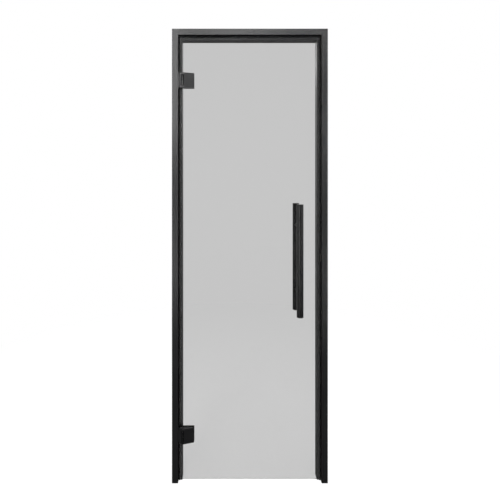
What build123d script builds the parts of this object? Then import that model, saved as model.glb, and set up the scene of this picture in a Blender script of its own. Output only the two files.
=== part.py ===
from build123d import *
from math import hypot
import os

# Frameless glass leaf in a black aluminium frame, hung on the left and opening towards the viewer.
# All sizes are in millimetres. The origin is at floor level, midway between the jambs, in the
# middle plane of the glass. +X runs from the hinges to the handle, +Y from the outside of the door
# to the inside, and +Z up.

# Frame
FRAME_WIDTH = 710.0
FRAME_HEIGHT = 2070.0
FRAME_DEPTH = 58.0
FACE_WIDTH = 28.0
REBATE_DEPTH = 20.0
STOP_WIDTH = 17.0
WALL = 2.0
EDGE_ROUND = 0.8

# Glass leaf
GLASS_THICKNESS = 8.0
GLASS_SETBACK = 6.0
REVEAL_GAP = 4.5
FLOOR_GAP = 15.0
ARRIS = 0.8
GLASS_HOLE_RADIUS = 7.0

# Seal groove in the stop, near the reveal, and the hollow seal in it
SEAL_REVEAL_DISTANCE = 4.25
GROOVE_MOUTH = 3.0
GROOVE_WIDTH = 6.0
GROOVE_DEPTH = 3.0
GROOVE_WALL = 1.5
SEAL_WIDTH = 7.0
SEAL_WALL = 0.9

# Corner cleats inside the mitres
CLEAT_ARM = 66.0
CLEAT_RIB = 4.0
CLEAT_FLANGE = 6.0
CLEAT_SCREW_DISTANCE = 56.0
CLEAT_SCREW_RADIUS = 2.5

# Holes and covers for fixing the jambs to a wall
FIXING_COUNT = 4
FIXING_FIRST_Z = 128.0
FIXING_LAST_FROM_TOP = 352.0
FIXING_HOLE_RADIUS = 3.25
ACCESS_HOLE_RADIUS = 5.0
COVER_RADIUS = 6.0
COVER_THICKNESS = 1.0

# Plugs in the feet of the jambs
PLUG_FLANGE = 2.0
PLUG_SPIGOT = 14.0

# Hinges
HINGE_HEIGHT = 67.5
LOWER_HINGE_Z = 218.75
UPPER_HINGE_FROM_TOP = 235.75
PLATE_WIDTH = 45.9
PLATE_THIN_END = 3.2
PLATE_ROUND = 1.2
REAR_PLATE_THICKNESS = 6.0
GASKET_THICKNESS = 1.0
GASKET_INSET = 0.6
BARREL_RADIUS = 7.75
BARREL_BACK_GAP = 0.5
BARREL_REVEAL_GAP = 4.0
SLOT_WIDTH = 7.6
LUG_HEIGHT = 9.0
PIN_RADIUS = 4.0
PIN_RECESS = 1.0
BUSH_WALL = 1.5
BUSH_FLANGE_RADIUS = 7.0
BUSH_FLANGE = 1.0
BUSH_LENGTH = 12.0
AXIAL_PLAY = 0.25
BRACKET_THICKNESS = 3.0
BRACKET_WEB = 7.0
BRACKET_SCREW_EDGE = 9.0
BACKING_THICKNESS = 4.0
CLAMP_SCREW_EDGE = 14.0
CLAMP_SCREW_INSET = 17.0
CLAMP_SCREW_LENGTH = 21.0

# Handle
HANDLE_LENGTH = 500.0
HANDLE_RADIUS = 15.0
HANDLE_WALL = 2.0
HANDLE_CENTRES = 300.0
HANDLE_MIDDLE_Z = 1022.0
HANDLE_EDGE_DISTANCE = 102.3
HANDLE_STANDOFF = 47.0
CAP_FLANGE = 3.0
CAP_SPIGOT = 9.0
POST_RADIUS = 8.0
STUD_RADIUS = 4.0
STUD_ENGAGEMENT = 12.0
WASHER_RADIUS = 10.0
WASHER_THICKNESS = 1.0
GRUB_RADIUS = 2.0
GRUB_DISTANCE = 6.0

# Catch: two magnets in the strike jamb and a steel strip on the edge of the glass
CATCH_Z = 1024.0
CATCH_FLANGE = 2.0
CATCH_HEIGHT = 32.0
CATCH_WIDTH = 11.0
CATCH_BODY_HEIGHT = 24.0
CATCH_BODY_WIDTH = 8.0
CATCH_BODY_DEPTH = 14.0
MAGNET_RADIUS = 3.0
MAGNET_LENGTH = 10.0
MAGNET_SPACING = 13.0
STRIKE_THICKNESS = 1.2
STRIKE_WIDTH = 7.0

# Countersunk screws: shank radius, head radius and head depth
M5 = {"shank": 2.5, "head": 4.6, "sink": 2.0}
M6 = {"shank": 3.0, "head": 5.6, "sink": 2.6}

# Clearances
SLIP = 0.3
FIT = 0.05
SEAL_TOUCH = 0.3

# Places that follow from the sizes above
FRONT_Y = -(GLASS_THICKNESS / 2 + GLASS_SETBACK)
STOP_Y = FRONT_Y + REBATE_DEPTH
GLASS_FRONT_Y = -GLASS_THICKNESS / 2
GLASS_BACK_Y = GLASS_THICKNESS / 2
SECTION_WIDTH = FACE_WIDTH + STOP_WIDTH
OUTER_X = FRAME_WIDTH / 2
REVEAL_X = OUTER_X - FACE_WIDTH
GLASS_EDGE_X = REVEAL_X - REVEAL_GAP
GLASS_TOP_Z = FRAME_HEIGHT - FACE_WIDTH - REVEAL_GAP
SEAL_U = FACE_WIDTH + SEAL_REVEAL_DISTANCE
REVEAL_MIDDLE_Y = (FRONT_Y + STOP_Y) / 2

PLATE_FACE_Y = GLASS_FRONT_Y - GASKET_THICKNESS
REAR_FACE_Y = GLASS_BACK_Y + GASKET_THICKNESS
PIN_X = -REVEAL_X + BARREL_REVEAL_GAP + BARREL_RADIUS
PIN_Y = PLATE_FACE_Y - BARREL_BACK_GAP - BARREL_RADIUS
PLATE_START_X = PIN_X + BARREL_RADIUS + SLOT_WIDTH
PLATE_END_X = PLATE_START_X + PLATE_WIDTH
REAR_START_X = PIN_X + BARREL_RADIUS
KNUCKLE_HEIGHT = HINGE_HEIGHT - 2 * (LUG_HEIGHT + BUSH_FLANGE + AXIAL_PLAY)
BUSH_RADIUS = PIN_RADIUS + FIT + BUSH_WALL

HEEL_REACH = PIN_X + GLASS_EDGE_X
HEEL_SWING = hypot(HEEL_REACH, GLASS_BACK_Y - PIN_Y) - (GLASS_BACK_Y - PIN_Y)
SEAL_FRONT_Y = GLASS_BACK_Y + SEAL_TOUCH
HINGE_SEAL_FRONT_Y = SEAL_FRONT_Y + HEEL_SWING
FIXING_Y = SEAL_FRONT_Y - SLIP - COVER_RADIUS
CATCH_Y = SEAL_FRONT_Y - SLIP - CATCH_WIDTH / 2

UPPER_HINGE_Z = FRAME_HEIGHT - UPPER_HINGE_FROM_TOP
HINGE_HEIGHTS = [LOWER_HINGE_Z, UPPER_HINGE_Z]

HANDLE_X = GLASS_EDGE_X - HANDLE_EDGE_DISTANCE
HANDLE_Y = GLASS_BACK_Y + HANDLE_STANDOFF
POST_HEIGHTS = [HANDLE_MIDDLE_Z + side * HANDLE_CENTRES / 2 for side in (-1, 1)]
FIXING_SPACING = (FRAME_HEIGHT - FIXING_LAST_FROM_TOP - FIXING_FIRST_Z) / (FIXING_COUNT - 1)
FIXING_HEIGHTS = [FIXING_FIRST_Z + n * FIXING_SPACING for n in range(FIXING_COUNT)]

FROM_CORNER = (Align.MIN, Align.MIN)
ON_BASE = (Align.CENTER, Align.CENTER, Align.MIN)


# Basic shapes
def block(x_from, x_to, y_from, y_to, z_from, z_to):
    """A box between two values on each axis."""
    box = Box(x_to - x_from, y_to - y_from, z_to - z_from, align=(Align.MIN,) * 3)
    return Pos(x_from, y_from, z_from) * box


def rod(start, end, radius):
    """A round bar from one point to another."""
    way = Vector(*end) - Vector(*start)
    return Plane(origin=start, z_dir=way) * Cylinder(radius, way.length, align=ON_BASE)


def sleeve(start, end, radius, bore):
    """A round tube from one point to another."""
    return rod(start, end, radius) - rod(start, end, bore)


def screw_outline(size, length, clearance=0.0):
    """Half of a countersunk screw, head at the top of its axis and shank below."""
    head = size["head"] + clearance
    shank = size["shank"] + clearance
    points = [(0, 0), (head, 0), (shank, -size["sink"]), (shank, -length), (0, -length)]
    return make_face(Polyline(*points, close=True))


def screw(size, length):
    """A countersunk screw with its head flush at the origin, pointing down."""
    return revolve(Plane.XZ * screw_outline(size, length), Axis.Z)


def screw_hole(size, length):
    """The hole that a countersunk screw of this size and length sits in."""
    return revolve(Plane.XZ * screw_outline(size, length + SLIP, FIT), Axis.Z)


def facing(point, outward):
    """The place for a screw whose head is at a point and faces a direction."""
    return Plane(origin=point, z_dir=outward).location


def group(shapes):
    """Like pieces kept together as separate solids."""
    return Compound([solid for shape in shapes for solid in shape.solids()])


def mirrored(shape):
    """The same piece on the other side of the door."""
    return mirror(shape, Plane.YZ)


# Frame extrusions, drawn with u from the wall inwards and v from the front to the back
def rectangle(u_from, u_to, v_from, v_to):
    """A rectangle in the frame's section."""
    return Pos(u_from, v_from) * Rectangle(u_to - u_from, v_to - v_from, align=FROM_CORNER)


def section_outline():
    """The stepped outline of the frame's section, its edges eased."""
    outline = rectangle(0, FACE_WIDTH, 0, FRAME_DEPTH)
    outline += rectangle(0, SECTION_WIDTH, REBATE_DEPTH, FRAME_DEPTH)
    return fillet(outline.vertices(), EDGE_ROUND)


def front_chamber(clearance=0.0):
    """The hollow behind the front face."""
    edge = WALL + clearance
    return rectangle(edge, FACE_WIDTH - edge, edge, REBATE_DEPTH - clearance)


def rear_chamber(clearance=0.0):
    """The hollow behind the stop, less the seal groove's walls."""
    edge = WALL + clearance
    hollow = rectangle(edge, SECTION_WIDTH - edge, REBATE_DEPTH + edge, FRAME_DEPTH - edge)
    groove_back = REBATE_DEPTH + WALL + GROOVE_DEPTH + GROOVE_WALL + clearance
    groove_half = GROOVE_WIDTH / 2 + GROOVE_WALL + clearance
    return hollow - rectangle(SEAL_U - groove_half, SEAL_U + groove_half, REBATE_DEPTH, groove_back)


def seal_groove():
    """The undercut groove that holds the seal."""
    mouth_half = GROOVE_MOUTH / 2
    groove_half = GROOVE_WIDTH / 2
    inner_lip = REBATE_DEPTH + WALL
    mouth = rectangle(SEAL_U - mouth_half, SEAL_U + mouth_half, REBATE_DEPTH, inner_lip)
    return mouth + rectangle(SEAL_U - groove_half, SEAL_U + groove_half, inner_lip, inner_lip + GROOVE_DEPTH)


def frame_section():
    """The hollow section that all three members are cut from."""
    return section_outline() - front_chamber() - rear_chamber() - seal_groove()


def seal_section(front_y):
    """A hollow bulb that reaches forward to a given y, on a stem with a wide root in the groove."""
    height = STOP_Y - front_y
    corner = min(SEAL_WIDTH, height) / 2 - FIT
    centre = Pos(SEAL_U, REBATE_DEPTH - height / 2)
    bulb = centre * RectangleRounded(SEAL_WIDTH, height, corner)
    bulb -= centre * RectangleRounded(SEAL_WIDTH - 2 * SEAL_WALL, height - 2 * SEAL_WALL, corner - SEAL_WALL)
    stem_half = GROOVE_MOUTH / 2 - FIT
    root_half = GROOVE_WIDTH / 2 - FIT
    inner_lip = REBATE_DEPTH + WALL + FIT
    root = rectangle(SEAL_U - root_half, SEAL_U + root_half, inner_lip, inner_lip + GROOVE_DEPTH - 2 * FIT)
    stem = rectangle(SEAL_U - stem_half, SEAL_U + stem_half, REBATE_DEPTH - SEAL_WALL / 2, inner_lip)
    return bulb + stem + root


def mitre(side):
    """The plane of a mitre, side -1 at the hinges and 1 at the handle."""
    return Plane(origin=(side * OUTER_X, 0, FRAME_HEIGHT), z_dir=(-side, 0, 1))


def upright(section, foot):
    """A length of a section standing at the hinge side, mitred at its head."""
    bar = Pos(-OUTER_X, FRONT_Y, foot) * extrude(section, FRAME_HEIGHT - foot)
    return split(bar, bisect_by=mitre(-1), keep=Keep.BOTTOM)


def crossbar(section):
    """A length of a section lying over the leaf, mitred at both ends."""
    bar = Pos(-OUTER_X, FRONT_Y, FRAME_HEIGHT) * Rot(0, 90, 0) * extrude(section, FRAME_WIDTH)
    for side in (-1, 1):
        bar = split(bar, bisect_by=mitre(side), keep=Keep.TOP)
    return bar


# Seals
def head_seal():
    """The seal over the leaf, cut back at the hinges so that the turning edge of the glass clears it."""
    seal = crossbar(seal_section(SEAL_FRONT_Y))
    return seal - block(-OUTER_X, PIN_X + HEEL_REACH + SLIP, FRONT_Y, FRAME_DEPTH, 0, FRAME_HEIGHT)


# Corner cleats
def cleat_screw_rods(radius):
    """Round bars where the set screws of the hinge corner go: one in the jamb, one in the head."""
    inward = WALL + CLEAT_FLANGE
    down = FRAME_HEIGHT - CLEAT_SCREW_DISTANCE
    along = -OUTER_X + CLEAT_SCREW_DISTANCE
    return [
        rod((-OUTER_X, REVEAL_MIDDLE_Y, down), (-OUTER_X + inward, REVEAL_MIDDLE_Y, down), radius),
        rod((along, REVEAL_MIDDLE_Y, FRAME_HEIGHT), (along, REVEAL_MIDDLE_Y, FRAME_HEIGHT - inward), radius),
    ]


def cleat_screws():
    """A set screw through each arm of both cleats."""
    screws = cleat_screw_rods(CLEAT_SCREW_RADIUS)
    return group(screws + [mirrored(shape) for shape in screws])


def corner_cleat():
    """An angle of cast arms that fits the front chambers of a jamb and the head."""
    outer = WALL + SLIP
    inner = FACE_WIDTH - WALL - SLIP
    back = outer + CLEAT_FLANGE
    arms = rectangle(outer, CLEAT_ARM, outer, inner) + rectangle(outer, inner, outer, CLEAT_ARM)
    step = (CLEAT_ARM - inner - CLEAT_RIB) / 2
    for n in range(2):
        start = inner + n * step
        arms -= rectangle(start + CLEAT_RIB / 2, start + step, back, inner)
        arms -= rectangle(back, inner, start + CLEAT_RIB / 2, start + step)
    flat = mirror(extrude(arms, REBATE_DEPTH - WALL - 2 * SLIP), Plane.XZ)
    standing = Pos(-OUTER_X, STOP_Y - SLIP, FRAME_HEIGHT) * Rot(90, 0, 0) * flat
    for hole in cleat_screw_rods(CLEAT_SCREW_RADIUS + FIT):
        standing -= hole
    return standing


# Jambs and head
def jamb_blank():
    """A jamb at the hinge side with its wall-fixing and cleat holes."""
    jamb = upright(frame_section(), PLUG_FLANGE)
    for z in FIXING_HEIGHTS:
        outside = (-OUTER_X, FIXING_Y, z)
        inside = (-REVEAL_X, FIXING_Y, z)
        chamber_start = (-REVEAL_X - WALL, FIXING_Y, z)
        chamber_end = (-OUTER_X + WALL, FIXING_Y, z)
        jamb -= rod(outside, chamber_end, FIXING_HOLE_RADIUS)
        jamb -= rod(inside, chamber_start, ACCESS_HOLE_RADIUS)
    return jamb - cleat_screw_rods(CLEAT_SCREW_RADIUS + FIT)[0]


def hinge_jamb():
    """The jamb that carries the hinges."""
    jamb = jamb_blank()
    for z in HINGE_HEIGHTS:
        for side in (-1, 1):
            jamb -= Pos(0, 0, z) * bracket_screw_place(side) * screw_hole(M5, bracket_screw_length())
    return jamb


def strike_jamb():
    """The jamb that carries the catch."""
    window_width = CATCH_BODY_WIDTH / 2 + FIT
    window_height = CATCH_BODY_HEIGHT / 2 + FIT
    window = block(
        REVEAL_X - WALL,
        REVEAL_X + 2 * WALL,
        CATCH_Y - window_width,
        CATCH_Y + window_width,
        CATCH_Z - window_height,
        CATCH_Z + window_height,
    )
    return mirrored(jamb_blank()) - window


def head_rail():
    """The head, with the cleat screws' holes at both ends."""
    head = crossbar(frame_section())
    hole = cleat_screw_rods(CLEAT_SCREW_RADIUS + FIT)[1]
    return head - hole - mirrored(hole)


def jamb_plug():
    """A plug in the foot of the hinge jamb: a flange with a hollow spigot in each chamber."""
    plug = extrude(section_outline(), PLUG_FLANGE)
    for chamber in (front_chamber(SLIP), rear_chamber(SLIP)):
        spigot = chamber - offset(chamber, -WALL)
        plug += Pos(0, 0, PLUG_FLANGE) * extrude(spigot, PLUG_SPIGOT)
    return Pos(-OUTER_X, FRONT_Y, 0) * plug


def fixing_covers():
    """A thin bonded cover over each access hole of both jambs."""
    covers = []
    for z in FIXING_HEIGHTS:
        on_reveal = (-REVEAL_X, FIXING_Y, z)
        proud = (-REVEAL_X + COVER_THICKNESS, FIXING_Y, z)
        cover = rod(on_reveal, proud, COVER_RADIUS)
        covers += [cover, mirrored(cover)]
    return group(covers)


# Hinge pieces, drawn with the middle of the hinge at z = 0
def hinge_span(height):
    """Lowest and highest z of a piece of a given height."""
    return -height / 2, height / 2


def bracket_screw_length():
    """Through the bracket, the jamb's wall and the backing plate."""
    return BRACKET_THICKNESS + WALL + BACKING_THICKNESS


def bracket_screw_place(side):
    """Where a bracket screw goes in, above or below the knuckle."""
    z = side * (HINGE_HEIGHT / 2 - BRACKET_SCREW_EDGE)
    return facing((-REVEAL_X + BRACKET_THICKNESS, REVEAL_MIDDLE_Y, z), (1, 0, 0))


def jamb_bracket():
    """A plate on the reveal, in front of the seal, with the middle knuckle on an arm."""
    low, high = hinge_span(HINGE_HEIGHT)
    plate_front = FRONT_Y + EDGE_ROUND
    plate_back = HINGE_SEAL_FRONT_Y - SLIP
    plate = block(-REVEAL_X, -REVEAL_X + BRACKET_THICKNESS, plate_front, plate_back, low, high)
    low, high = hinge_span(KNUCKLE_HEIGHT)
    arm_back = plate_front + BRACKET_THICKNESS
    arm = block(-REVEAL_X, PIN_X, arm_back - BRACKET_WEB, arm_back, low, high)
    barrel = rod((PIN_X, PIN_Y, low), (PIN_X, PIN_Y, high), BARREL_RADIUS)
    bore = rod((PIN_X, PIN_Y, low), (PIN_X, PIN_Y, high), PIN_RADIUS + 2 * FIT)
    bracket = plate + arm + barrel - bore
    for side in (-1, 1):
        bracket -= bracket_screw_place(side) * screw_hole(M5, bracket_screw_length())
        end = side * KNUCKLE_HEIGHT / 2
        seat_end = side * (KNUCKLE_HEIGHT / 2 - BUSH_LENGTH)
        bracket -= rod((PIN_X, PIN_Y, seat_end), (PIN_X, PIN_Y, end), BUSH_RADIUS + FIT)
    return bracket


def hinge_bushes():
    """Two flanged bushes, one in each end of the knuckle."""
    bushes = []
    for side in (-1, 1):
        seat_end = (PIN_X, PIN_Y, side * (KNUCKLE_HEIGHT / 2 - BUSH_LENGTH + SLIP))
        rim = (PIN_X, PIN_Y, side * KNUCKLE_HEIGHT / 2)
        top = (PIN_X, PIN_Y, side * (KNUCKLE_HEIGHT / 2 + BUSH_FLANGE))
        bush = rod(seat_end, rim, BUSH_RADIUS) + rod(rim, top, BUSH_FLANGE_RADIUS)
        bushes.append(bush - rod(seat_end, top, PIN_RADIUS + FIT))
    return group(bushes)


def backing_plate():
    """A threaded steel plate inside the jamb, behind the bracket."""
    low, high = hinge_span(HINGE_HEIGHT)
    face = -REVEAL_X - WALL
    half_width = (REBATE_DEPTH - WALL) / 2 - SLIP
    middle = REVEAL_MIDDLE_Y + WALL / 2
    plate = block(face - BACKING_THICKNESS, face, middle - half_width, middle + half_width, low, high)
    for side in (-1, 1):
        plate -= bracket_screw_place(side) * screw_hole(M5, bracket_screw_length())
    return plate


def bracket_screws():
    """Two countersunk screws through the bracket."""
    return group([bracket_screw_place(side) * screw(M5, bracket_screw_length()) for side in (-1, 1)])


def clamp_screw_place(side):
    """Where a clamp screw goes in at the back of the rear plate."""
    z = side * (HINGE_HEIGHT / 2 - CLAMP_SCREW_EDGE)
    return facing((PLATE_START_X + CLAMP_SCREW_INSET, REAR_FACE_Y + REAR_PLATE_THICKNESS, z), (0, 1, 0))


def clamp_screw_axis(side, y_from, y_to):
    """Two points on a clamp screw's axis."""
    x = PLATE_START_X + CLAMP_SCREW_INSET
    z = side * (HINGE_HEIGHT / 2 - CLAMP_SCREW_EDGE)
    return (x, y_from, z), (x, y_to, z)


def front_clamp():
    """The wedge on the outside of the glass, with a lug above and below the knuckle."""
    low, high = hinge_span(HINGE_HEIGHT)
    thick_y = PIN_Y - BARREL_RADIUS
    thin_y = PLATE_FACE_Y - PLATE_THIN_END
    corners = [
        (PIN_X, thick_y),
        (PLATE_START_X, thick_y),
        (PLATE_END_X, thin_y),
        (PLATE_END_X, PLATE_FACE_Y),
        (PIN_X, PLATE_FACE_Y),
    ]
    wedge = make_face(Polyline(*corners, close=True))
    wedge = fillet(wedge.vertices().sort_by(Axis.X)[2:], PLATE_ROUND)
    plan = wedge + Pos(PIN_X, PIN_Y) * Circle(BARREL_RADIUS)
    neck_back = rectangle(PIN_X - BARREL_RADIUS, PLATE_START_X, PIN_Y + BARREL_RADIUS, PLATE_FACE_Y)
    clamp = Pos(0, 0, low) * extrude(plan - neck_back, HINGE_HEIGHT)
    slot_half = HINGE_HEIGHT / 2 - LUG_HEIGHT
    slot_left = PIN_X - 2 * BARREL_RADIUS
    clamp -= block(slot_left, PLATE_START_X, 2 * thick_y, 0, -slot_half, slot_half)
    clamp -= rod((PIN_X, PIN_Y, low), (PIN_X, PIN_Y, high), PIN_RADIUS + FIT)
    for side in (-1, 1):
        clamp -= clamp_screw_place(side) * screw_hole(M6, CLAMP_SCREW_LENGTH)
    return clamp


def rear_clamp():
    """The flat plate on the inside of the glass, which reaches behind the slot in front."""
    low, high = hinge_span(HINGE_HEIGHT)
    plan = rectangle(REAR_START_X, PLATE_END_X, REAR_FACE_Y, REAR_FACE_Y + REAR_PLATE_THICKNESS)
    plan = fillet(plan.vertices().sort_by(Axis.Y)[2:], PLATE_ROUND)
    clamp = Pos(0, 0, low) * extrude(plan, HINGE_HEIGHT)
    for side in (-1, 1):
        clamp -= clamp_screw_place(side) * screw_hole(M6, CLAMP_SCREW_LENGTH)
    return clamp


def glass_gaskets():
    """A sheet of rubber each side of the glass, under the clamp plates."""
    low, high = hinge_span(HINGE_HEIGHT - 2 * GASKET_INSET)
    x_to = PLATE_END_X - GASKET_INSET
    outside = (PLATE_START_X, PLATE_FACE_Y, GLASS_FRONT_Y)
    inside = (REAR_START_X, GLASS_BACK_Y, REAR_FACE_Y)
    gaskets = []
    for x_from, y_from, y_to in (outside, inside):
        sheet = block(x_from + GASKET_INSET, x_to, y_from, y_to, low, high)
        for side in (-1, 1):
            sheet -= rod(*clamp_screw_axis(side, y_from, y_to), M6["shank"] + SLIP)
        gaskets.append(sheet)
    return group(gaskets)


def clamp_screws():
    """Two countersunk screws from the rear plate into the front one."""
    return group([clamp_screw_place(side) * screw(M6, CLAMP_SCREW_LENGTH) for side in (-1, 1)])


def clamp_sleeves():
    """A sleeve round each clamp screw, where it passes the glass."""
    radius = GLASS_HOLE_RADIUS - SLIP
    bore = M6["shank"] + SLIP
    return group(
        [sleeve(*clamp_screw_axis(side, GLASS_FRONT_Y, GLASS_BACK_Y), radius, bore) for side in (-1, 1)]
    )


def hinge_pin():
    """The pin through both lugs and the knuckle."""
    low, high = hinge_span(HINGE_HEIGHT - 2 * PIN_RECESS)
    pin = rod((PIN_X, PIN_Y, low), (PIN_X, PIN_Y, high), PIN_RADIUS)
    return chamfer(pin.edges().filter_by(GeomType.CIRCLE), PIN_RECESS / 2)


def at_both_hinges(shape):
    """The same small pieces at the lower and the upper hinge."""
    return group([Pos(0, 0, z) * shape for z in HINGE_HEIGHTS])


HINGE_PIECES = {
    "jamb_bracket": jamb_bracket,
    "backing_plate": backing_plate,
    "front_clamp": front_clamp,
    "rear_clamp": rear_clamp,
    "glass_gaskets": glass_gaskets,
    "pin": hinge_pin,
}


# Leaf
def glass_pane():
    """The pane, with ground edges and the holes for both hinges and the handle."""
    pane = block(-GLASS_EDGE_X, GLASS_EDGE_X, GLASS_FRONT_Y, GLASS_BACK_Y, FLOOR_GAP, GLASS_TOP_Z)
    long_edges = pane.edges().filter_by(Axis.Z) + pane.edges().filter_by(Axis.X)
    pane = chamfer(long_edges, ARRIS)
    for z in HINGE_HEIGHTS:
        for side in (-1, 1):
            hole = rod(*clamp_screw_axis(side, GLASS_FRONT_Y, GLASS_BACK_Y), GLASS_HOLE_RADIUS)
            pane -= Pos(0, 0, z) * hole
    for z in POST_HEIGHTS:
        pane -= rod((HANDLE_X, GLASS_FRONT_Y, z), (HANDLE_X, GLASS_BACK_Y, z), GLASS_HOLE_RADIUS)
    return pane


def handle_point(side, distance, z):
    """A point on a post's axis, a distance from the middle of the glass."""
    return (HANDLE_X, side * distance, z)


def handle_bar(side):
    """A tube on the outside (-1) or inside (1) of the glass."""
    half = HANDLE_LENGTH / 2 - CAP_FLANGE
    low = handle_point(side, HANDLE_Y, HANDLE_MIDDLE_Z - half)
    high = handle_point(side, HANDLE_Y, HANDLE_MIDDLE_Z + half)
    return sleeve(low, high, HANDLE_RADIUS, HANDLE_RADIUS - HANDLE_WALL)


def handle_caps(side):
    """A cap in each end of a tube."""
    caps = []
    for end in (-1, 1):
        rim = HANDLE_MIDDLE_Z + end * (HANDLE_LENGTH / 2 - CAP_FLANGE)
        tip = HANDLE_MIDDLE_Z + end * HANDLE_LENGTH / 2
        inner = rim - end * CAP_SPIGOT
        flange = rod(handle_point(side, HANDLE_Y, rim), handle_point(side, HANDLE_Y, tip), HANDLE_RADIUS)
        flange = chamfer(flange.edges().filter_by(GeomType.CIRCLE).sort_by(Axis.Z)[end], EDGE_ROUND)
        spigot_radius = HANDLE_RADIUS - HANDLE_WALL - FIT
        spigot = rod(handle_point(side, HANDLE_Y, inner), handle_point(side, HANDLE_Y, rim), spigot_radius)
        caps.append(flange + spigot)
    return group(caps)


def post_foot():
    """How far a post's foot is from the middle of the glass."""
    return GLASS_BACK_Y + WASHER_THICKNESS


def handle_posts(side):
    """Two turned posts, each saddled to the tube, with a bore for the stud and a grub screw's hole."""
    half = HANDLE_LENGTH / 2
    low = handle_point(side, HANDLE_Y, HANDLE_MIDDLE_Z - half)
    high = handle_point(side, HANDLE_Y, HANDLE_MIDDLE_Z + half)
    posts = []
    for z in POST_HEIGHTS:
        foot = handle_point(side, post_foot(), z)
        post = rod(foot, handle_point(side, HANDLE_Y, z), POST_RADIUS)
        post -= rod(low, high, HANDLE_RADIUS + FIT)
        bore_end = handle_point(side, post_foot() + STUD_ENGAGEMENT + SLIP, z)
        post -= rod(foot, bore_end, STUD_RADIUS + FIT)
        grub_y = post_foot() + GRUB_DISTANCE
        below = handle_point(side, grub_y, z - 2 * POST_RADIUS)
        post -= rod(below, handle_point(side, grub_y, z), GRUB_RADIUS + FIT)
        posts.append(post)
    return group(posts)


def handle_studs():
    """A threaded stud through the glass at each pair of posts."""
    reach = post_foot() + STUD_ENGAGEMENT
    return group(
        [rod(handle_point(1, -reach, z), handle_point(1, reach, z), STUD_RADIUS) for z in POST_HEIGHTS]
    )


def handle_washers():
    """A soft washer under each post."""
    washers = []
    for z in POST_HEIGHTS:
        for side in (-1, 1):
            on_glass = handle_point(side, GLASS_BACK_Y, z)
            under_post = handle_point(side, post_foot(), z)
            washers.append(sleeve(on_glass, under_post, WASHER_RADIUS, STUD_RADIUS + SLIP))
    return group(washers)


def handle_sleeves():
    """A sleeve round each stud, where it passes the glass."""
    radius = GLASS_HOLE_RADIUS - SLIP
    sleeves = []
    for z in POST_HEIGHTS:
        outside = handle_point(-1, GLASS_BACK_Y, z)
        inside = handle_point(1, GLASS_BACK_Y, z)
        sleeves.append(sleeve(outside, inside, radius, STUD_RADIUS + SLIP))
    return group(sleeves)


def handle_grub_screws():
    """A grub screw under each post, against the stud."""
    grubs = []
    for z in POST_HEIGHTS:
        for side in (-1, 1):
            y = post_foot() + GRUB_DISTANCE
            tip = handle_point(side, y, z - STUD_RADIUS - FIT)
            end = handle_point(side, y, z - POST_RADIUS)
            grubs.append(rod(tip, end, GRUB_RADIUS))
    return group(grubs)


# Catch
def magnet_axis(side, x_from, x_to):
    """Two points on a magnet's axis, above or below the middle of the catch."""
    z = CATCH_Z + side * MAGNET_SPACING / 2
    return (x_from, CATCH_Y, z), (x_to, CATCH_Y, z)


def catch_housing():
    """A moulded housing let into the reveal, with a pocket for each magnet."""
    flange = block(
        REVEAL_X - CATCH_FLANGE,
        REVEAL_X,
        CATCH_Y - CATCH_WIDTH / 2,
        CATCH_Y + CATCH_WIDTH / 2,
        CATCH_Z - CATCH_HEIGHT / 2,
        CATCH_Z + CATCH_HEIGHT / 2,
    )
    flange = fillet(flange.edges().filter_by(Axis.X), CATCH_WIDTH / 4)
    body = block(
        REVEAL_X,
        REVEAL_X - CATCH_FLANGE + CATCH_BODY_DEPTH,
        CATCH_Y - CATCH_BODY_WIDTH / 2,
        CATCH_Y + CATCH_BODY_WIDTH / 2,
        CATCH_Z - CATCH_BODY_HEIGHT / 2,
        CATCH_Z + CATCH_BODY_HEIGHT / 2,
    )
    housing = flange + body
    face = REVEAL_X - CATCH_FLANGE
    for side in (-1, 1):
        housing -= rod(*magnet_axis(side, face, face + MAGNET_LENGTH + FIT), MAGNET_RADIUS + FIT)
    return housing


def catch_magnets():
    """Two plated magnets, flush with the housing's face."""
    face = REVEAL_X - CATCH_FLANGE
    return group([rod(*magnet_axis(side, face, face + MAGNET_LENGTH), MAGNET_RADIUS) for side in (-1, 1)])


def catch_strike():
    """A steel strip bonded to the edge of the glass, facing the magnets."""
    strip = block(
        GLASS_EDGE_X,
        GLASS_EDGE_X + STRIKE_THICKNESS,
        -STRIKE_WIDTH / 2 + ARRIS / 2,
        STRIKE_WIDTH / 2 - ARRIS / 2,
        CATCH_Z - CATCH_HEIGHT / 2,
        CATCH_Z + CATCH_HEIGHT / 2,
    )
    return chamfer(strip.edges().filter_by(Axis.Z).group_by(Axis.X)[-1], ARRIS / 2)


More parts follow.
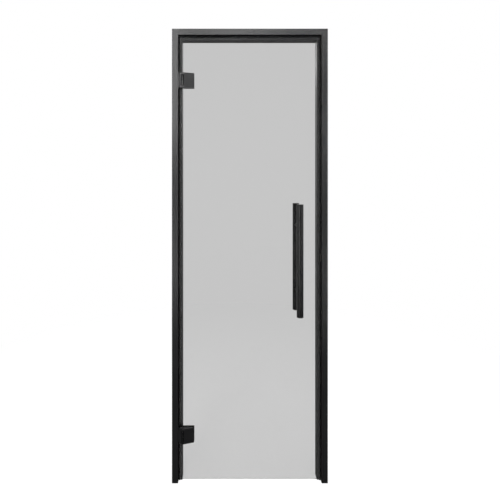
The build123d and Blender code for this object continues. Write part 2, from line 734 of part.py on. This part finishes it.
def build():
    """Every piece by name."""
    cleat = corner_cleat()
    hinge_seal = upright(seal_section(HINGE_SEAL_FRONT_Y), PLUG_FLANGE)
    strike_seal = mirrored(upright(seal_section(SEAL_FRONT_Y), PLUG_FLANGE))
    plug = jamb_plug()
    pieces = {
        "hinge_jamb": hinge_jamb(),
        "strike_jamb": strike_jamb(),
        "head_rail": head_rail(),
        "hinge_jamb_seal": hinge_seal,
        "strike_jamb_seal": strike_seal,
        "head_seal": head_seal(),
        "corner_cleats": group([cleat, mirrored(cleat)]),
        "cleat_screws": cleat_screws(),
        "hinge_jamb_plug": plug,
        "strike_jamb_plug": mirrored(plug),
        "fixing_covers": fixing_covers(),
        "catch_housing": catch_housing(),
        "catch_magnets": catch_magnets(),
        "catch_strike": catch_strike(),
        "glass_pane": glass_pane(),
        "outer_handle_bar": handle_bar(-1),
        "inner_handle_bar": handle_bar(1),
        "outer_handle_caps": handle_caps(-1),
        "inner_handle_caps": handle_caps(1),
        "outer_handle_posts": handle_posts(-1),
        "inner_handle_posts": handle_posts(1),
        "handle_studs": handle_studs(),
        "handle_washers": handle_washers(),
        "handle_sleeves": handle_sleeves(),
        "handle_grub_screws": handle_grub_screws(),
        "hinge_bushes": at_both_hinges(hinge_bushes()),
        "hinge_bracket_screws": at_both_hinges(bracket_screws()),
        "hinge_clamp_screws": at_both_hinges(clamp_screws()),
        "hinge_clamp_sleeves": at_both_hinges(clamp_sleeves()),
    }
    for piece, make in HINGE_PIECES.items():
        shape = make()
        pieces["lower_hinge_" + piece] = Pos(0, 0, LOWER_HINGE_Z) * shape
        pieces["upper_hinge_" + piece] = Pos(0, 0, UPPER_HINGE_Z) * shape
    return pieces


os.makedirs("parts", exist_ok=True)
for name, shape in build().items():
    export_step(shape, f"parts/{name}.step")
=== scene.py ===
from math import cos, pi, radians, sin

import bmesh
import bpy
from mathutils import Matrix, Vector


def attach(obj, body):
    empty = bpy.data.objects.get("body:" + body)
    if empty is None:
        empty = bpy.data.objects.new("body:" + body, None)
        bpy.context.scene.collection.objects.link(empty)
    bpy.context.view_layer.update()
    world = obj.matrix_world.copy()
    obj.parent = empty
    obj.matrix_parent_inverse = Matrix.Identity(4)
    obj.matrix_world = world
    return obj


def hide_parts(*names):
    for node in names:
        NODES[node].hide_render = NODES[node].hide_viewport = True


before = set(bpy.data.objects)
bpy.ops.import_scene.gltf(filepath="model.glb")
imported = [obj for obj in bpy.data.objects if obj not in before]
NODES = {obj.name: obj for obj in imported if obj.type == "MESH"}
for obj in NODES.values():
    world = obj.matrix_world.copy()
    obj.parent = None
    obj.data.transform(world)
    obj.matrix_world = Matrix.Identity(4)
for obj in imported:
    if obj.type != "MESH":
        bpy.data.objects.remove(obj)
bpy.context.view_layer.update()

MM = 0.001
SCENE = bpy.context.scene
SCENE.view_settings.view_transform = "Standard"


# Colours and shader nodes
def paint(code):
    """The linear colour of an sRGB hex value."""
    parts = [int(code[i:i + 2], 16) / 255 for i in (1, 3, 5)]
    return tuple(c / 12.92 if c <= 0.04045 else ((c + 0.055) / 1.055) ** 2.4 for c in parts) + (1.0,)


def add(tree, kind, sockets=None, **settings):
    """Adds a node. A socket takes a value, or another node's output to link to."""
    made = tree.nodes.new("ShaderNode" + kind)
    for name, value in settings.items():
        setattr(made, name, value)
    for name, value in (sockets or {}).items():
        if isinstance(value, bpy.types.NodeSocket):
            tree.links.new(value, made.inputs[name])
        else:
            made.inputs[name].default_value = value
    return made


def new_finish(name):
    """An empty material and its output node."""
    material = bpy.data.materials.new(name)
    material.use_nodes = True
    material.node_tree.nodes.clear()
    return material, add(material.node_tree, "OutputMaterial")


def coated(name, clean, handled, smooth, rough, patch_mm, grain_mm, relief_mm, metallic=0.0, level=0.5):
    """A coat or skin, from clean and smooth to handled and rough in broad patches, over a fine grain that
    also stands in relief."""
    material, output = new_finish(name)
    tree = material.node_tree
    place = add(tree, "TexCoord").outputs["Object"]
    patches = add(tree, "TexNoise", {"Vector": place, "Scale": 1 / (patch_mm * MM), "Detail": 3.0})
    grain = add(tree, "TexNoise", {"Vector": place, "Scale": 1 / (grain_mm * MM), "Detail": 2.0})
    mottle = add(tree, "Mix", {"Factor": 0.35, "A": patches.outputs["Fac"], "B": grain.outputs["Fac"]})
    tone = add(tree, "MapRange", {"Value": mottle.outputs["Result"], "From Min": 0.35, "From Max": 0.65})
    tone = tone.outputs["Result"]
    colour = add(tree, "Mix", {"Factor": tone, 6: paint(clean), 7: paint(handled)}, data_type="RGBA")
    roughness = add(tree, "MapRange", {"Value": tone, "To Min": smooth, "To Max": rough})
    relief = add(tree, "Bump", {"Height": grain.outputs["Fac"], "Distance": relief_mm * MM, "Strength": 1.0})
    surface = add(tree, "BsdfPrincipled", {
        "Base Color": colour.outputs[2],
        "Roughness": roughness.outputs["Result"],
        "Metallic": metallic,
        "Specular IOR Level": level,
        "Normal": relief.outputs["Normal"],
    })
    tree.links.new(surface.outputs["BSDF"], output.inputs["Surface"])
    return material


# Finishes
# Polyester powder coat on extruded aluminium, sprayed and baked: an even satin black with a slight orange
# peel. The peel's real waves are 1 to 2 mm long and are drawn 2.5 mm long so that they can be seen.
POWDER_COAT = coated("satin_black_powder_coat", "#18181a", "#1d1d1e", 0.32, 0.35, 90, 2.5, 0.005)

# Black electrocoat on die-cast and machined hinge bodies: thinner and darker than powder, with the faint
# grain of the blasted metal showing through.
BLACK_FITTING = coated("black_electrocoat_on_casting", "#151517", "#1a1a1b", 0.3, 0.38, 30, 1.2, 0.004)

# The same black coat on drawn stainless tube: the darkest and glossiest of the blacks, so the round bars
# carry a long soft highlight.
BLACK_TUBE = coated("black_coat_on_drawn_tube", "#0c0c0d", "#111112", 0.26, 0.34, 60, 1.5, 0.004)

# Black oxide on steel screws: a thin brownish black skin with some of the metal's shine.
BLACK_SCREW = coated("black_oxide_steel", "#1c1b1a", "#2c2a28", 0.35, 0.5, 6, 0.8, 0.004, metallic=0.6)

# Extruded EPDM rubber: deep matt black that takes the light out of the gaps, with a faint bloom in patches.
SEAL_RUBBER = coated("extruded_epdm_rubber", "#0b0b0b", "#121212", 0.75, 0.9, 25, 1.0, 0.008, level=0.25)

# Moulded nylon: dull black with the fine grain of a spark-eroded mould.
NYLON = coated("moulded_black_nylon", "#161617", "#1e1e1f", 0.5, 0.62, 20, 1.0, 0.015)

# Turned acetal: milky white and waxy.
ACETAL = coated("natural_acetal", "#d9d7d0", "#cfccc3", 0.35, 0.45, 15, 0.9, 0.003)

# Zinc-plated steel: bluish grey, finely crystalline.
ZINC_STEEL = coated("zinc_plated_steel", "#a9adb3", "#8f9297", 0.3, 0.42, 12, 0.8, 0.004, metallic=1.0)

# Die-cast aluminium, as it leaves the mould: grey, dull and slightly pitted.
CAST_ALUMINIUM = coated("die_cast_aluminium", "#a3a4a5", "#8c8d8f", 0.45, 0.6, 20, 1.0, 0.01, metallic=1.0)

# Nickel plate on the catch's magnets: warm and bright.
NICKEL = coated("bright_nickel_plate", "#d2ccc0", "#bfb8aa", 0.16, 0.24, 8, 0.6, 0.002, metallic=1.0)

# Brushed stainless strip on the edge of the glass: pale, warm grey and silky.
STAINLESS = coated("brushed_stainless_strip", "#b9b7b2", "#a3a19c", 0.3, 0.42, 10, 0.8, 0.004, metallic=1.0)


# Float glass tinted grey in the melt, then toughened: flat, hard and clean. The tint is in its body, so
# its ground edges look far darker than its face, which lets 60% through its 8 mm.
TINT_PER_METRE = 64.0


def tinted_float_glass():
    """Glass that bends and mirrors what is seen through it, and lets the lamps' light pass without noise."""
    material, output = new_finish("grey_toughened_glass")
    tree = material.node_tree
    body = add(tree, "BsdfPrincipled", {
        "Base Color": paint("#ffffff"),
        "Roughness": 0.0,
        "IOR": 1.52,
        "Transmission Weight": 1.0,
    })
    clear = add(tree, "BsdfTransparent", {"Color": paint("#f4f4f4")})
    path = add(tree, "LightPath")
    both = add(tree, "MixShader", {
        "Fac": path.outputs["Is Shadow Ray"],
        1: body.outputs["BSDF"],
        2: clear.outputs["BSDF"],
    })
    tint = add(tree, "VolumeAbsorption", {"Color": paint("#000000"), "Density": TINT_PER_METRE})
    tree.links.new(both.outputs["Shader"], output.inputs["Surface"])
    tree.links.new(tint.outputs["Volume"], output.inputs["Volume"])
    return material


GLASS = tinted_float_glass()


def finish_of(name):
    """The finish of a CAD node."""
    if name in ("hinge_jamb", "strike_jamb", "head_rail"):
        return POWDER_COAT
    if name == "glass_pane":
        return GLASS
    if name.endswith(("_seal", "_gaskets", "_washers")):
        return SEAL_RUBBER
    if name.endswith("_plug") or name in ("fixing_covers", "catch_housing", "hinge_bushes"):
        return NYLON
    if name.endswith("_sleeves"):
        return ACETAL
    if name == "corner_cleats":
        return CAST_ALUMINIUM
    if name == "catch_magnets":
        return NICKEL
    if name == "catch_strike":
        return STAINLESS
    if name in ("hinge_bracket_screws", "hinge_clamp_screws", "handle_grub_screws"):
        return BLACK_SCREW
    if name.endswith(("_screws", "_studs", "_pin", "_backing_plate")):
        return ZINC_STEEL
    if "handle" in name:
        return BLACK_TUBE
    return BLACK_FITTING


for name, node in NODES.items():
    node.data.materials.clear()
    node.data.materials.append(finish_of(name))


# Shapes. Sizes and places are in millimetres, in the CAD's frame.
ROUND_POINTS = 48
SIDES = (-1, 1)


def skin(shape, stations):
    """Adds a closed skin to a mesh that is being built. A station is an outer loop and any inner loops.
    Each loop joins the same loop of the next station, and the two end stations are capped."""
    rows = [[[shape.verts.new(point) for point in loop] for loop in station] for station in stations]
    for near, far in zip(rows, rows[1:]):
        for a, b in zip(near, far):
            for i in range(len(a)):
                shape.faces.new((a[i - 1], a[i], b[i], b[i - 1]))
    for row in (rows[0], rows[-1]):
        rims = [shape.edges.get((loop[i - 1], loop[i])) for loop in row for i in range(len(loop))]
        bmesh.ops.triangle_fill(shape, edges=rims, use_beauty=True)


def piece(name, shape, finish, body, slot, *nodes):
    """Makes a built mesh a piece that rides on a body in place of CAD nodes."""
    bmesh.ops.recalc_face_normals(shape, faces=shape.faces)
    mesh = bpy.data.meshes.new(name)
    shape.to_mesh(mesh)
    shape.free()
    mesh.shade_smooth()
    mesh.set_sharp_from_angle(angle=radians(35))
    mesh.materials.append(finish)
    made = bpy.data.objects.new(name, mesh)
    SCENE.collection.objects.link(made)
    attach(made, body)
    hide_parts(*nodes)


def arc(centre, radius, start, end, steps):
    """Points on an arc, angles in degrees."""
    angles = [radians(start + (end - start) * i / steps) for i in range(steps + 1)]
    return [(centre[0] + radius * cos(a), centre[1] + radius * sin(a)) for a in angles]


def circle(centre, radius):
    """Points round a circle."""
    return arc(centre, radius, 0, 360, ROUND_POINTS)[:-1]


def rounded(half_width, near, far, near_corner, far_corner):
    """A rectangle's outline with round corners, centred on 0 across and reaching from near to far. It
    starts and ends in the middle of its far side."""
    near_side, far_side = half_width - near_corner, half_width - far_corner
    return (arc((far_side, far - far_corner), far_corner, 90, 0, 6)
            + arc((near_side, near + near_corner), near_corner, 0, -90, 8)
            + arc((-near_side, near + near_corner), near_corner, -90, -180, 8)
            + arc((-far_side, far - far_corner), far_corner, 180, 90, 6))


# Bulb seals. Their section is given across the seal and by y.
FRAME_HALF = 355.0
FRAME_TOP = 2070.0
PLUG_TOP = 2.0
STOP_Y = 10.0
SEAL_INWARD = 32.25
SEAL_WALL = 0.9
SEAL_FRONT_Y = 4.3
HINGE_SEAL_FRONT_Y = 5.762
HEAD_SEAL_START_X = -307.7


def seal_loops(front_y):
    """The seal's outline and its hollow: a crowned bulb on a stem, whose barbed root is pushed into the
    groove in the stop."""
    half_width = 3.5
    crown = (STOP_Y - front_y) / 2 - 0.05
    root = [(1.45, 0), (1.45, 2.05), (2.95, 2.05), (2.9, 2.5), (1.8, 4.9)]
    root = [(-u, STOP_Y + v) for u, v in root] + [(u, STOP_Y + v) for u, v in reversed(root)]
    bulb = rounded(half_width, front_y, STOP_Y, crown, 2.0)
    hollow = rounded(half_width - SEAL_WALL, front_y + SEAL_WALL, STOP_Y - SEAL_WALL, crown - SEAL_WALL, 1.1)
    return bulb + root, hollow


def bulb_seal(name, node, front_y, steps, place):
    """A length of seal. Its bulb wanders a little, as soft extrusion does once it is pushed in."""
    loops = seal_loops(front_y)
    stations = []
    for step in range(steps + 1):
        share = step / steps
        sway = 0.02 * sin(share * 41) + 0.012 * sin(share * 97 + 1)
        station = []
        for loop in loops:
            bent = [(u + sway * max(0.0, STOP_Y - y), y) for u, y in loop]
            station.append([Vector(place(SEAL_INWARD + u, y, share)) * MM for u, y in bent])
        stations.append(station)
    shape = bmesh.new()
    skin(shape, stations)
    piece(name, shape, SEAL_RUBBER, "frame", "black_rubber", node)


def up_jamb(side):
    """The places of a jamb's seal, from its foot plug to the mitre, side -1 at the hinges."""
    def place(inward, y, share):
        length = FRAME_TOP - inward - PLUG_TOP
        return side * (FRAME_HALF - inward), y, PLUG_TOP + share * length
    return place


def along_head(inward, y, share):
    """The places of the head's seal, from its hinge end to the mitre at the handle side."""
    length = FRAME_HALF - inward - HEAD_SEAL_START_X
    return HEAD_SEAL_START_X + share * length, y, FRAME_TOP - inward


bulb_seal("hinge_jamb_bulb_seal", "hinge_jamb_seal", HINGE_SEAL_FRONT_Y, 56, up_jamb(-1))
bulb_seal("strike_jamb_bulb_seal", "strike_jamb_seal", SEAL_FRONT_Y, 56, up_jamb(1))
bulb_seal("head_bulb_seal", "head_seal", SEAL_FRONT_Y, 18, along_head)


# Rubber sheets under the hinge clamps and the handle's posts, on both faces of the glass
GLASS_FACE_Y = 4.0
SHEET_THICKNESS = 1.0
HINGE_HEIGHTS = {"lower": 218.75, "upper": 1834.25}
CLAMP_SCREW_X = -282.9
CLAMP_SCREW_RISE = 19.75
CLAMP_END_X = -254.6
HANDLE_X = 220.2
POST_HEIGHTS = (872, 1172)


def cut_sheet(shape, outline, holes, side):
    """A sheet of rubber on the front of the glass, side -1, or its back. Clamping squeezes its rims out
    between its faces."""
    stations = []
    for share, squeeze in ((0, -0.1), (0.15, 0.1), (0.5, 0.22), (0.85, 0.1), (1, -0.1)):
        y = side * (GLASS_FACE_Y + share * SHEET_THICKNESS)
        loops = [outline(squeeze)] + [hole(-squeeze / 2) for hole in holes]
        stations.append([[Vector((x, y, z)) * MM for x, z in loop] for loop in loops])
    skin(shape, stations)


def disc_outline(x, z, radius):
    """A round outline that can grow."""
    return lambda grow: circle((x, z), radius + grow)


def clamp_outline(start_x, height):
    """The outline of a hinge's sheet with round corners, which can grow."""
    def grown(grow):
        half_height = 33.15 + grow
        half_width = (CLAMP_END_X - start_x) / 2 + grow
        corner = 2 + grow
        loop = rounded(half_width, -half_height, half_height, corner, corner)
        return [((start_x + CLAMP_END_X) / 2 + x, height + z) for x, z in loop]
    return grown


for level, height in HINGE_HEIGHTS.items():
    shape = bmesh.new()
    holes = [disc_outline(CLAMP_SCREW_X, height + side * CLAMP_SCREW_RISE, 3.3) for side in SIDES]
    for side, start_x in ((-1, -299.3), (1, -306.9)):
        cut_sheet(shape, clamp_outline(start_x, height), holes, side)
    name = f"{level}_hinge_rubber_sheets"
    piece(name, shape, SEAL_RUBBER, "leaf", "black_rubber", f"{level}_hinge_glass_gaskets")

shape = bmesh.new()
for height in POST_HEIGHTS:
    for side in SIDES:
        hole = disc_outline(HANDLE_X, height, 4.5)
        cut_sheet(shape, disc_outline(HANDLE_X, height, 9.8), [hole], side)
piece("handle_rubber_washers", shape, SEAL_RUBBER, "leaf", "black_rubber", "handle_washers")


# Screws. Their loops lie round the z axis, with the face of the head at 0 and the tip below.
def ring(radius, z):
    """A circle round a screw's axis."""
    return [Vector((x, y, z)) for x, y in circle((0, 0), radius)]


def hexagon(flats, z):
    """A hexagon with as many points as a ring, by half its size across the flats."""
    loop = []
    for step in range(ROUND_POINTS):
        angle = 2 * pi * step / ROUND_POINTS
        reach = flats / cos(angle % (pi / 3) - pi / 6)
        loop.append(Vector((reach * cos(angle), reach * sin(angle), z)))
    return loop


def socket(flats, depth):
    """A hexagon socket, from its chamfered rim to its drilled floor."""
    corner = flats / cos(pi / 6)
    return [
        ring(corner + 0.15, 0),
        hexagon(flats, -0.3),
        hexagon(flats, -depth),
        ring(flats * 0.8, -depth - 0.1),
        ring(0.1, -depth - flats * 0.3),
    ]


def countersunk(head, shank, sink, length, flats, depth):
    """A countersunk screw with a socket, from its tip over its eased rim to the socket's floor."""
    slope = (head - shank) / sink
    return [
        ring(shank - 0.5, -length),
        ring(shank, 0.5 - length),
        ring(shank, -sink),
        ring(head - 0.3 * slope, -0.3),
        ring(head - 0.12 * slope, -0.1),
        ring(head - 0.3, 0),
    ] + socket(flats, depth)


def set_screw(shank, length, flats, depth):
    """A set screw, from its cup point over its shank to the socket's floor."""
    return [
        ring(shank - 0.9, 0.4 - length),
        ring(shank - 0.8, -length),
        ring(shank, 0.7 - length),
        ring(shank, -0.4),
        ring(shank - 0.3, 0),
    ] + socket(flats, depth)


def screws(name, node, finish, body, loops, places):
    """Copies of a screw, each left at its own angle by hand. A place is a point and where the head faces."""
    shape = bmesh.new()
    for number, (point, outward) in enumerate(places):
        turned = Matrix.Rotation(radians(17 + 23 * number), 4, "Z")
        facing = Vector(outward).to_track_quat("Z", "Y").to_matrix().to_4x4()
        at = Matrix.Translation(Vector(point)) @ facing @ turned
        skin(shape, [[[(at @ vertex) * MM for vertex in loop]] for loop in loops])
    piece(name, shape, finish, body, "screw_steel", node)


CLAMP_SCREWS = [
    ((CLAMP_SCREW_X, 11, height + side * CLAMP_SCREW_RISE), (0, 1, 0))
    for height in HINGE_HEIGHTS.values() for side in SIDES
]
BRACKET_SCREWS = [
    ((-324, 0, height + side * 24.75), (1, 0, 0))
    for height in HINGE_HEIGHTS.values() for side in SIDES
]
POST_SCREWS = [((HANDLE_X, side * 11, height - 8), (0, 0, -1)) for height in POST_HEIGHTS for side in SIDES]
CLEAT_SCREWS = [((side * FRAME_HALF, 0, 2014), (side, 0, 0)) for side in SIDES]
CLEAT_SCREWS += [((side * 299, 0, FRAME_TOP), (0, 0, 1)) for side in SIDES]

screws("hinge_clamp_socket_screws", "hinge_clamp_screws", BLACK_SCREW, "leaf",
       countersunk(5.6, 3, 2.6, 21, 2, 1.7), CLAMP_SCREWS)
screws("hinge_bracket_socket_screws", "hinge_bracket_screws", BLACK_SCREW, "frame",
       countersunk(4.6, 2.5, 2, 9, 1.5, 1.3), BRACKET_SCREWS)
screws("handle_post_set_screws", "handle_grub_screws", BLACK_SCREW, "leaf",
       set_screw(2, 3.9, 1, 1.8), POST_SCREWS)
screws("cleat_set_screws", "cleat_screws", ZINC_STEEL, "frame",
       set_screw(2.5, 7.9, 1.25, 2.2), CLEAT_SCREWS)


# Studio: a pale floor in a white room. A colour renders about as it is written.
WHITE = "#ffffff"
WORLD_LIGHT = 0.4


def seen_white(tree, mirrored_share, depth):
    """How much of the white a ray shows: all of it straight to the eye or through glass, and in what the
    coats and the glass mirror, a share of it behind the door and none in front."""
    path = add(tree, "LightPath").outputs
    behind = add(tree, "MapRange", {"Value": depth, "From Min": 0.0, "From Max": 0.3})
    share = add(tree, "Math", {0: behind.outputs["Result"], 1: mirrored_share}, operation="MULTIPLY")
    mirrored = add(tree, "Math", {0: path["Is Glossy Ray"], 1: share.outputs[0]}, operation="MULTIPLY")
    eye = {0: path["Is Camera Ray"], 1: path["Is Transmission Ray"]}
    direct = add(tree, "Math", eye, operation="ADD", use_clamp=True)
    both = {0: direct.outputs[0], 1: mirrored.outputs[0]}
    return add(tree, "Math", both, operation="ADD", use_clamp=True).outputs[0]


def studio_floor():
    """A pale floor, white to the eye, that keeps the door's shadow near the door and turns to plain white
    further off. What mirrors show of it is dimmer, most of all close behind the door."""
    half = 6.0
    mesh = bpy.data.meshes.new("floor")
    corners = [(-half, -half, 0), (half, -half, 0), (half, half, 0), (-half, half, 0)]
    mesh.from_pydata(corners, [], [(0, 1, 2, 3)])
    floor = bpy.data.objects.new("floor", mesh)
    SCENE.collection.objects.link(floor)
    material, output = new_finish("pale_studio_floor")
    tree = material.node_tree
    place = add(tree, "TexCoord").outputs["Object"]
    distance = add(tree, "VectorMath", {0: place}, operation="LENGTH").outputs["Value"]
    depth = add(tree, "SeparateXYZ", {0: place}).outputs["Y"]

    matt = add(tree, "BsdfDiffuse", {"Color": paint("#959595")})
    glow = add(tree, "Emission", {"Color": paint(WHITE), "Strength": 0.86})
    lifted = add(tree, "AddShader", {0: matt.outputs["BSDF"], 1: glow.outputs["Emission"]})
    white = add(tree, "Emission", {"Color": paint(WHITE), "Strength": 1.0})
    far = add(tree, "MapRange", {"Value": distance, "From Min": 0.8, "From Max": 2.4})
    ground = {"Fac": far.outputs["Result"], 1: lifted.outputs["Shader"], 2: white.outputs["Emission"]}
    ground = add(tree, "MixShader", ground)

    dim = add(tree, "BsdfDiffuse", {"Color": paint("#5c5c5c")})
    mirrored = add(tree, "LightPath").outputs["Is Glossy Ray"]
    plain = add(tree, "MixShader", {"Fac": mirrored, 1: matt.outputs["BSDF"], 2: dim.outputs["BSDF"]})

    reach = {"Value": distance, "From Min": 0.2, "From Max": 4.5, "To Min": 0.05, "To Max": 0.36}
    seen = seen_white(tree, add(tree, "MapRange", reach).outputs["Result"], depth)
    both = add(tree, "MixShader", {"Fac": seen, 1: plain.outputs["Shader"], 2: ground.outputs["Shader"]})
    tree.links.new(both.outputs["Shader"], output.inputs["Surface"])
    mesh.materials.append(material)


def studio_world():
    """White to the eye and through glass, and elsewhere a plain soft light on everything. Mirrored, the
    white behind fades towards the floor, and the front is dim between two pale side walls, as in a room."""
    world = bpy.data.worlds.new("studio")
    world.use_nodes = True
    tree = world.node_tree
    tree.nodes.clear()
    way = add(tree, "SeparateXYZ", {0: add(tree, "TexCoord").outputs["Generated"]}).outputs

    aside = add(tree, "Math", {0: way["X"]}, operation="ABSOLUTE").outputs[0]
    walls = {"Value": aside, "From Min": 0.28, "From Max": 0.45, "To Min": 0.06, "To Max": 0.8}
    walls = add(tree, "MapRange", walls).outputs["Result"]
    mirrored = add(tree, "LightPath").outputs["Is Glossy Ray"]
    plain = add(tree, "MapRange", {"Value": mirrored, "To Min": WORLD_LIGHT, "To Max": walls})

    rise = add(tree, "MapRange", {"Value": way["Z"], "From Min": -0.15, "From Max": 0.2, "To Min": 0.12})
    seen = seen_white(tree, rise.outputs["Result"], way["Y"])
    strength = add(tree, "MapRange", {"Value": seen, "To Min": plain.outputs["Result"], "To Max": 1.0})
    sky = add(tree, "Background", {"Color": paint(WHITE), "Strength": strength.outputs["Result"]})
    add(tree, "OutputWorld", {"Surface": sky.outputs["Background"]})
    SCENE.world = world


def soft_box(name, place, aim, width, height, watts):
    """A rectangular soft box. It lights every coat, but it is not met by rays that the glass mirrors or
    lets through, so it doesn't show there as a white card."""
    lamp = bpy.data.lights.new(name, "AREA")
    lamp.shape = "RECTANGLE"
    lamp.size = width
    lamp.size_y = height
    lamp.energy = watts
    lamp.cycles.use_multiple_importance_sampling = False
    box = bpy.data.objects.new(name, lamp)
    box.location = place
    box.rotation_euler = (Vector(aim) - Vector(place)).to_track_quat("-Z", "Z").to_euler()
    SCENE.collection.objects.link(box)


def camera():
    """The photograph's viewpoint: level, a little above the handle, with the picture shifted down and to
    the right."""
    lens = bpy.data.cameras.new("camera")
    lens.sensor_width = 36.0
    lens.lens = 25.92
    lens.shift_x = 0.044
    lens.shift_y = -0.137
    eye = bpy.data.objects.new("camera", lens)
    eye.location = (-0.0996, -1.6487, 1.374)
    eye.rotation_euler = (radians(90), 0, 0)
    SCENE.collection.objects.link(eye)
    SCENE.camera = eye


studio_floor()
studio_world()
# Two towers of soft boxes beside the camera, a pair over it and a pair high behind the door. Each row is
# a name, its place and aim in metres, its width and height, and its watts.
for name, place, aim, width, height, watts in (
    ("left_tower_top", (-0.86, -1.6, 2.75), (-0.36, 0, 2.1), 0.5, 0.7, 10.5),
    ("left_tower_upper", (-0.86, -1.6, 2.05), (-0.36, 0, 1.7), 0.5, 0.7, 10.5),
    ("left_tower_lower", (-0.86, -1.6, 1.35), (-0.36, 0, 1.3), 0.5, 0.7, 1.6),
    ("left_tower_foot", (-0.86, -1.6, 0.65), (-0.36, 0, 0.9), 0.5, 0.7, 4.5),
    ("right_tower_top", (1.05, -1.6, 2.6), (0.36, 0, 2.1), 0.5, 0.7, 1.4),
    ("right_tower_upper", (1.05, -1.6, 1.9), (0.36, 0, 1.6), 0.5, 0.7, 3.4),
    ("right_tower_lower", (1.05, -1.6, 1.2), (0.36, 0, 1.1), 0.5, 0.7, 0.8),
    ("right_tower_foot", (1.05, -1.6, 0.5), (0.36, 0, 0.6), 0.5, 0.7, 2.6),
    ("over_camera", (0, -1.5, 2.95), (0, 0, 2.0), 0.6, 0.5, 9.2),
    ("over_camera_right", (0.62, -1.5, 2.95), (0.2, 0, 2.0), 0.6, 0.5, 3),
    ("behind_hinges", (-0.6, 1.6, 2.5), (-0.3, 0, 0.6), 0.5, 0.4, 7),
    ("behind_handle", (0.7, 1.6, 2.5), (0.3, 0, 1.1), 0.5, 0.4, 5),
):
    soft_box(name, place, aim, width, height, watts)
camera()
